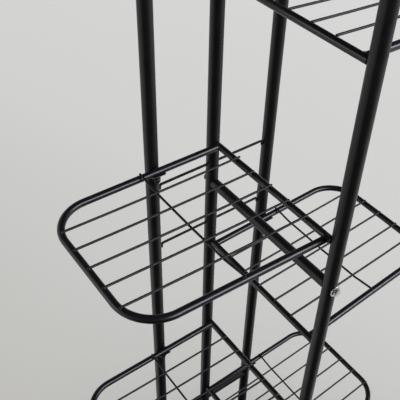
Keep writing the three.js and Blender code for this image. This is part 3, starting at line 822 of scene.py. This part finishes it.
def saddle_tongue(name, x, z, tilt):
    """A curved sheet against the post, with room for the leg above and a hole for the screw."""
    hug = bent_strip(lambda r, a: at(r * math.cos(a), r * math.sin(a), 0), -164, -16,
                     TONGUE_THICK, POST_R + GAP, 24)
    sheet = prism(hug, at(x, REAR_Y, z - TONGUE_DROP), at(x, REAR_Y, z - TUBE_R + 0.2 * MM))
    outline = [at(x + w * MM, REAR_Y, z + h * MM) for w, h in TONGUE_OUTLINE]
    shaped = cut(name, sheet, [prism(outline, at(0, 0, 0), at(0, -2 * POST_R, 0))], "INTERSECT")
    reach = 30 * MM
    lean = reach * math.tan(tilt)
    channel = cylinder(at(x - reach, REAR_LEG_Y, z + lean), at(x + reach, REAR_LEG_Y, z - lean),
                       SEAT_R + 0.2 * MM, 48)
    screw_z = z - SCREW_DROP
    hole = cylinder(at(x, REAR_Y - 40 * MM, screw_z), at(x, REAR_Y, screw_z), SCREW_HOLE_R)
    tongue = cut(name, shaped, [channel, hole])
    bevelled(tongue, 0.5 * MM)
    return tongue


def saddle_seat(name, x, z, tilt):
    """A half round cradle along the underside of the leg."""
    cradle = bent_strip(lambda r, a: at(0, r * math.cos(a), r * math.sin(a)), 190, 305,
                        SEAT_THICK, SEAT_R, 16)
    seat = make_mesh(name, *prism(cradle, at(-SEAT_HALF_LENGTH, 0, 0), at(SEAT_HALF_LENGTH, 0, 0)))
    seat.transform(Matrix.Translation(at(x, REAR_LEG_Y, z)) @ Matrix.Rotation(tilt, 4, "Y"))
    bevelled(seat, 0.6 * MM)
    return seat


def saddle_screw(name, x, z, shank_end):
    """A pan-headed screw with a cross slot."""
    face = REAR_Y - POST_R - 2 * GAP - TONGUE_THICK
    shank_r, slot_long, slot_wide = 1.9 * MM, 2.1 * MM, 0.4 * MM
    shank_length = shank_end - face
    profile = [(0, shank_length), (shank_r, shank_length), (shank_r, 0), (4 * MM, 0), (3.8 * MM, -1.6 * MM),
               (3.1 * MM, -2.8 * MM), (1.6 * MM, -SCREW_HEAD_H), (0, -SCREW_HEAD_H)]
    eased = rounded(profile, {3: 0.2 * MM, 4: 0.4 * MM, 5: 0.4 * MM})
    screw = lathe(eased, at(x, face, z), 32, at(0, 1, 0))
    top = at(x, face - SCREW_HEAD_H, z)
    slots = []
    for w, h in ((slot_wide, slot_long), (slot_long, slot_wide)):
        corners = [top + at(-w, 0, -h), top + at(w, 0, -h), top + at(w, 0, h), top + at(-w, 0, h)]
        slots.append(prism(corners, at(0, -1 * MM, 0), at(0, 1.1 * MM, 0)))
    return cut(name, screw, slots)


def make_saddles():
    for tray, (height, rise, *_) in TRAYS.items():
        side = side_of(tray)
        tilt = tilt_of(side, rise)
        x = POSTS["left" if side < 0 else "right"].x
        z = height - x * math.tan(tilt)  # the height of the rear leg at the post
        for part, build in (("tongue", saddle_tongue), ("seat", saddle_seat)):
            name = f"saddle_{tray}_{part}"
            piece(name, build(name, x, z, tilt), "powder", "rotor", f"saddle_{tray}")
        node = f"saddle_screw_{tray}"
        screw = saddle_screw(f"{node}_head", x, z - SCREW_DROP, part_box(node)[1].y)
        piece(f"{node}_head", screw, "gloss", "rotor", node)


# ------------------------------------------------------------------ turntable

AXLE = at(0, 0, 0)
SPINDLE_R = 10 * MM
SPINDLE_FLANGE_R, SPINDLE_FLANGE_H = 29 * MM, 4 * MM
SPINDLE_THREAD_R, SPINDLE_ROOT_R, SPINDLE_PITCH = 8 * MM, 7.5 * MM, 1.5 * MM
RACE_BORE_R, RACE_R = 31 * MM, 48 * MM
BALL_R, BALL_CLEARANCE, BALL_COUNT = 3.5 * MM, 0.45 * MM, 10
BALL_CIRCLE_R = (RACE_BORE_R + RACE_R) / 2
CAGE_HALF_WIDTH, CAGE_HALF_HEIGHT = 5 * MM, 0.8 * MM
PLATE_BORE_R, PLATE_THICK = 13 * MM, 5 * MM
HUB_BORE_R, HUB_R = 10.15 * MM, 17 * MM
HUB_FLANGE_R, HUB_FLANGE_H = 34 * MM, 4 * MM
NUT_ACROSS_FLATS, NUT_BORE_R = 24 * MM, 8.2 * MM
NUT_WASHER_R, NUT_WASHER_H = 15 * MM, 1 * MM


def make_base():
    low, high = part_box("base_plate")
    radius = (high.x - low.x) / 2
    disc = rounded([(0, low.z), (radius, low.z), (radius, high.z), (0, high.z)], {1: 1.5 * MM, 2: 2 * MM}, 6)
    piece("base_plate_disc", lathe(disc, AXLE, 160), "powder", "base", "base_plate")
    groove_in, groove_out, groove_deep = 6 * MM, 4 * MM, 1 * MM
    for i in range(1, 5):
        node = f"base_foot_{i}"
        low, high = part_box(node)
        r = (high.x - low.x) / 2
        foot = [(0, 0), (r - groove_in, 0), (r - groove_in, groove_deep), (r - groove_out, groove_deep),
                (r - groove_out, 0), (r, 0), (r, high.z), (0, high.z)]
        spot = at((low.x + high.x) / 2, (low.y + high.y) / 2, 0)
        pad = lathe(rounded(foot, {5: 2 * MM, 6: 0.8 * MM}), spot, 48)
        piece(f"{node}_pad", pad, "rubber", "base", node)


def make_spindle():
    """A flanged shaft whose upper end is threaded for the nut."""
    low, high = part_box("spindle")
    flange_top = low.z + SPINDLE_FLANGE_H
    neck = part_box("spindle_nut")[0].z - GAP
    profile = [(0, low.z), (SPINDLE_FLANGE_R, low.z), (SPINDLE_FLANGE_R, flange_top), (SPINDLE_R, flange_top),
               (SPINDLE_R, neck), (SPINDLE_THREAD_R, neck)]
    z = neck
    while z < high.z - 2.4 * MM:
        profile += [(SPINDLE_THREAD_R, z + 0.4 * MM), (SPINDLE_ROOT_R, z + 0.9 * MM),
                    (SPINDLE_THREAD_R, z + 1.4 * MM)]
        z += SPINDLE_PITCH
    profile += [(SPINDLE_THREAD_R, high.z - 1 * MM), (SPINDLE_THREAD_R - 1 * MM, high.z), (0, high.z)]
    shaft = lathe(rounded(profile, {1: 0.6 * MM, 2: 1 * MM, 3: 2 * MM}), AXLE, 64)
    piece("spindle_shaft", shaft, "steel", "base", "spindle")


def make_bearing():
    """Two grooved races and a cage of balls between them."""
    lower_low, lower_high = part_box("bearing_race_lower")
    upper_low, upper_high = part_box("bearing_race_upper")
    ball_z = (lower_low.z + upper_high.z) / 2
    groove_r = BALL_R + BALL_CLEARANCE
    for node, body, back, face, sign in (
            ("bearing_race_lower", "base", lower_low.z, lower_high.z, -1),
            ("bearing_race_upper", "rotor", upper_high.z, upper_low.z, 1)):
        dip = math.asin(abs(face - ball_z) / groove_r)
        groove = [(BALL_CIRCLE_R - math.cos(a) * groove_r, ball_z + sign * math.sin(a) * groove_r)
                  for a in (dip + (math.pi - 2 * dip) * k / 12 for k in range(13))]
        ring = [(RACE_BORE_R, back), (RACE_BORE_R, face), *groove, (RACE_R, face), (RACE_R, back)]
        rims = {index: 0.4 * MM for index in (0, 1, 15, 16)}
        piece(f"{node}_ring", lathe(rounded(ring, rims), AXLE, 96), "steel", body, node)
    inner, outer = BALL_CIRCLE_R - CAGE_HALF_WIDTH, BALL_CIRCLE_R + CAGE_HALF_WIDTH
    bottom, top = ball_z - CAGE_HALF_HEIGHT, ball_z + CAGE_HALF_HEIGHT
    ring = [(inner, bottom), (outer, bottom), (outer, top), (inner, top)]
    cage = lathe(rounded(ring, {k: 0.3 * MM for k in range(4)}), AXLE, 96)
    spots = [at(BALL_CIRCLE_R * math.cos(a), BALL_CIRCLE_R * math.sin(a), ball_z)
             for a in circle_angles(BALL_COUNT)]
    balls = [blob(spot, (BALL_R,) * 3, 0, rings=16, sides=24, lump=0) for spot in spots]
    piece("bearing_cage", weld("bearing_cage", [cage, *balls]), "steel", "ball_ring", "bearing_ball_ring")


def make_rotor_plate():
    """A round plate on the upper race, with a spigot inside each post."""
    low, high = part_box("rotor_plate")
    radius = (high.x - low.x) / 2
    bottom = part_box("bearing_race_upper")[1].z + GAP
    top = bottom + PLATE_THICK
    disc = [(PLATE_BORE_R, bottom), (radius, bottom), (radius, top), (PLATE_BORE_R, top)]
    parts = [lathe(rounded(disc, {1: 1.5 * MM, 2: 1.5 * MM}, 6), AXLE, 160)]
    spigot_r = POST_R - POST_WALL - GAP
    spigot = [(0, top - 1 * MM), (spigot_r, top - 1 * MM), (spigot_r, high.z), (0, high.z)]
    for centre in POSTS.values():
        parts.append(lathe(rounded(spigot, {2: 1 * MM}), at(centre.x, centre.y, 0), 40))
    piece("rotor_plate_disc", weld("rotor_plate_disc", parts), "powder", "rotor", "rotor_plate")


def make_hub():
    """A flanged sleeve that turns on the spindle."""
    low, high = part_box("hub_sleeve")
    flange_top = low.z + HUB_FLANGE_H
    profile = [(HUB_BORE_R, low.z), (HUB_FLANGE_R, low.z), (HUB_FLANGE_R, flange_top), (HUB_R, flange_top),
               (HUB_R, high.z), (HUB_BORE_R, high.z)]
    hub = lathe(rounded(profile, {1: 0.5 * MM, 2: 1 * MM, 3: 1.5 * MM, 4: 0.8 * MM}), AXLE, 80)
    piece("hub_sleeve_flange", hub, "powder", "rotor", "hub_sleeve")


def make_spindle_nut():
    """A hexagon nut on a plain washer."""
    low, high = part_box("spindle_nut")
    washer_top = low.z + NUT_WASHER_H
    block = hexagon("spindle_nut_hex", at(0, 0, washer_top), at(0, 0, high.z), NUT_ACROSS_FLATS)
    bore = cylinder(at(0, 0, low.z - 5 * MM), at(0, 0, high.z + 5 * MM), NUT_BORE_R, 48)
    nut = cut("spindle_nut_hex", block, [bore])
    bevelled(nut, 0.3 * MM, 20)
    piece("spindle_nut_hex", nut, "zinc", "base", "spindle_nut")
    ring = [(NUT_BORE_R, low.z), (NUT_WASHER_R, low.z), (NUT_WASHER_R, washer_top), (NUT_BORE_R, washer_top)]
    washer = lathe(rounded(ring, {1: 0.3 * MM, 2: 0.3 * MM}), AXLE, 64)
    piece("spindle_nut_washer", washer, "zinc", "base", "spindle_nut")


make_posts()
make_crossbars()
make_rear_bars()
make_tie_rods()
make_trays()
make_saddles()
make_base()
make_spindle()
make_bearing()
make_rotor_plate()
make_hub()
make_spindle_nut()


# ------------------------------------------------------------------ stage and light

FLOOR_HALF = 30


def floor_material():
    """Pale paper whose colour carries painted shade and painted light: darker and warmer near the rack's left
    front, brighter far off to the right.
    """
    m = Nodes("studio_floor")
    along = m.add("ShaderNodeVectorMath", operation="DOT_PRODUCT")
    m.link(m.position, along.inputs[0])
    along.inputs[1].default_value = (1, 0.35, 0)
    away = along.outputs["Value"]
    # painted shade and painted light: the paper's colour grades from darker near the left front to brighter
    # far to the right, standing in for light falling off across the floor
    near = m.blend(m.map(away, -0.45, 1.0, 0, 1), (0.468, 0.463, 0.446), (0.606, 0.606, 0.597))
    far = m.blend(m.map(away, 1.0, 3.0, 0, 1), near, (0.645, 0.648, 0.642))
    mottle = m.map(m.noise(1.2, 3), 0.3, 0.7, 0, 0.04)
    m.drive(m.blend(mottle, far, (0.62, 0.62, 0.61)), "Base Color")
    m.set(Roughness=0.95, Specular_IOR_Level=0.0)
    return m.material


def make_floor():
    corners = [at(x * FLOOR_HALF, y * FLOOR_HALF, 0) for x, y in ((-1, -1), (1, -1), (1, 1), (-1, 1))]
    mesh = make_mesh("studio_floor", corners, [(0, 1, 2, 3)])
    mesh.materials.append(floor_material())
    floor = add_object("studio_floor", mesh)
    floor.visible_glossy = False  # the studio around the rack is what it reflects
    return floor


def place_light(name, data, place, target):
    lamp = bpy.data.objects.new(name, data)
    lamp.location = place
    lamp.rotation_mode = "QUATERNION"
    lamp.rotation_quaternion = (target - place).to_track_quat("-Z", "Y")
    bpy.context.scene.collection.objects.link(lamp)
    return lamp


def light_only(lamp, targets, state):
    """Makes a lamp light nothing but the targets, or everything but them."""
    group = bpy.data.collections.new(lamp.name + ".receivers")
    for target in targets:
        group.objects.link(target)
    lamp.light_linking.receiver_collection = group
    for linked in group.collection_objects:
        linked.light_linking.link_state = state


def make_lights(floor):
    """A broad light for the floor, and a window high in front on the right for the rack."""
    sun = bpy.data.lights.new("floor_light", "SUN")
    sun.energy = 2.95
    sun.angle = math.radians(50)
    light_only(place_light("floor_light", sun, at(0.5, 0.2, 5), at(0, 0, 0)), [floor], "INCLUDE")
    pane = bpy.data.lights.new("window", "AREA")
    pane.shape = "RECTANGLE"
    pane.size, pane.size_y = 3.2, 0.9
    pane.energy = 125
    pane.color = (0.92, 0.95, 1.06)
    window = place_light("window", pane, at(1.35, -2.3, 2.3), at(0, 0, 0.9))
    # the crossbar bolts' heads have the surroundings alone to reflect
    heads = [o for o in bpy.data.objects if o.name.startswith("crossbar_bolt") and o.name.endswith("_head")]
    light_only(window, [floor, *heads], "EXCLUDE")


class Studio:
    """What stands round the rack: a studio for it to reflect, and a backdrop for the camera to see."""

    def __init__(self):
        self.world = bpy.data.worlds.new("studio")
        self.world.use_nodes = True
        self.tree = self.world.node_tree
        heading = self.add("ShaderNodeTexCoord").outputs["Generated"]
        flat = self.vector("MULTIPLY", heading, (1, 1, 0)).outputs["Vector"]
        self.level_heading = self.vector("NORMALIZE", flat).outputs["Vector"]
        split = self.add("ShaderNodeSeparateXYZ")
        self.link(heading, split.inputs[0])
        self.height = split.outputs["Z"]

    def add(self, kind):
        return self.tree.nodes.new(kind)

    def link(self, source, target):
        self.tree.links.new(source, target)

    def vector(self, operation, source, other=None):
        node = self.add("ShaderNodeVectorMath")
        node.operation = operation
        self.link(source, node.inputs[0])
        if other is not None:
            node.inputs[1].default_value = other
        return node

    def towards(self, x, y):
        """About 1 where a ray heads for (x, y) as seen from above, about -1 where it heads away."""
        return self.vector("DOT_PRODUCT", self.level_heading, (x, y, 0)).outputs["Value"]

    def step(self, source, *ranges):
        """Like map_range, but easing in and out."""
        node = map_range(self.tree, source, *ranges)
        node.interpolation_type = "SMOOTHSTEP"
        return node.outputs["Result"]

    def math(self, operation, first, second):
        node = self.add("ShaderNodeMath")
        node.operation = operation
        for socket, value in zip(node.inputs, (first, second)):
            if isinstance(value, (int, float)):
                socket.default_value = value
            else:
                self.link(value, socket)
        return node.outputs[0]

    def brightness(self):
        """Bright paper below eye level, dark in front; above it a dim room with a wall and a window."""
        paper = self.step(self.towards(0.43, 0.90), -0.75, -0.35, 0.03, 0.66)
        room = self.step(self.height, 0.0, 0.9, 0.11, 0.05)
        wall = self.math("MULTIPLY", self.step(self.towards(-0.8, 0.6), 0.1, 0.7, 0, 0.45),
                         self.step(self.height, 0.25, 0.75, 1, 0))
        window = self.math("MULTIPLY", self.step(self.towards(-0.88, 0.47), 0.965, 0.988, 0, 2.0),
                           self.step(self.height, 0.32, 0.5, 1, 0))
        above = self.math("ADD", room, self.math("ADD", wall, window))
        below = self.step(self.height, -0.06, 0.04, 1, 0)
        return self.math("ADD", self.math("MULTIPLY", paper, below),
                         self.math("MULTIPLY", above, self.math("SUBTRACT", 1, below)))

    def build(self):
        """The camera sees plain paper; everything else sees the surroundings."""
        surroundings = self.tree.nodes["Background"]
        surroundings.inputs["Color"].default_value = (0.99, 0.995, 1.0, 1)
        self.link(self.brightness(), surroundings.inputs["Strength"])
        backdrop = self.add("ShaderNodeBackground")
        backdrop.inputs["Color"].default_value = (0.642, 0.642, 0.63, 1)
        pick = self.add("ShaderNodeMixShader")
        self.link(self.add("ShaderNodeLightPath").outputs["Is Camera Ray"], pick.inputs["Fac"])
        self.link(surroundings.outputs[0], pick.inputs[1])
        self.link(backdrop.outputs[0], pick.inputs[2])
        self.link(pick.outputs[0], self.tree.nodes["World Output"].inputs["Surface"])
        bpy.context.scene.world = self.world


Studio().build()
make_lights(make_floor())
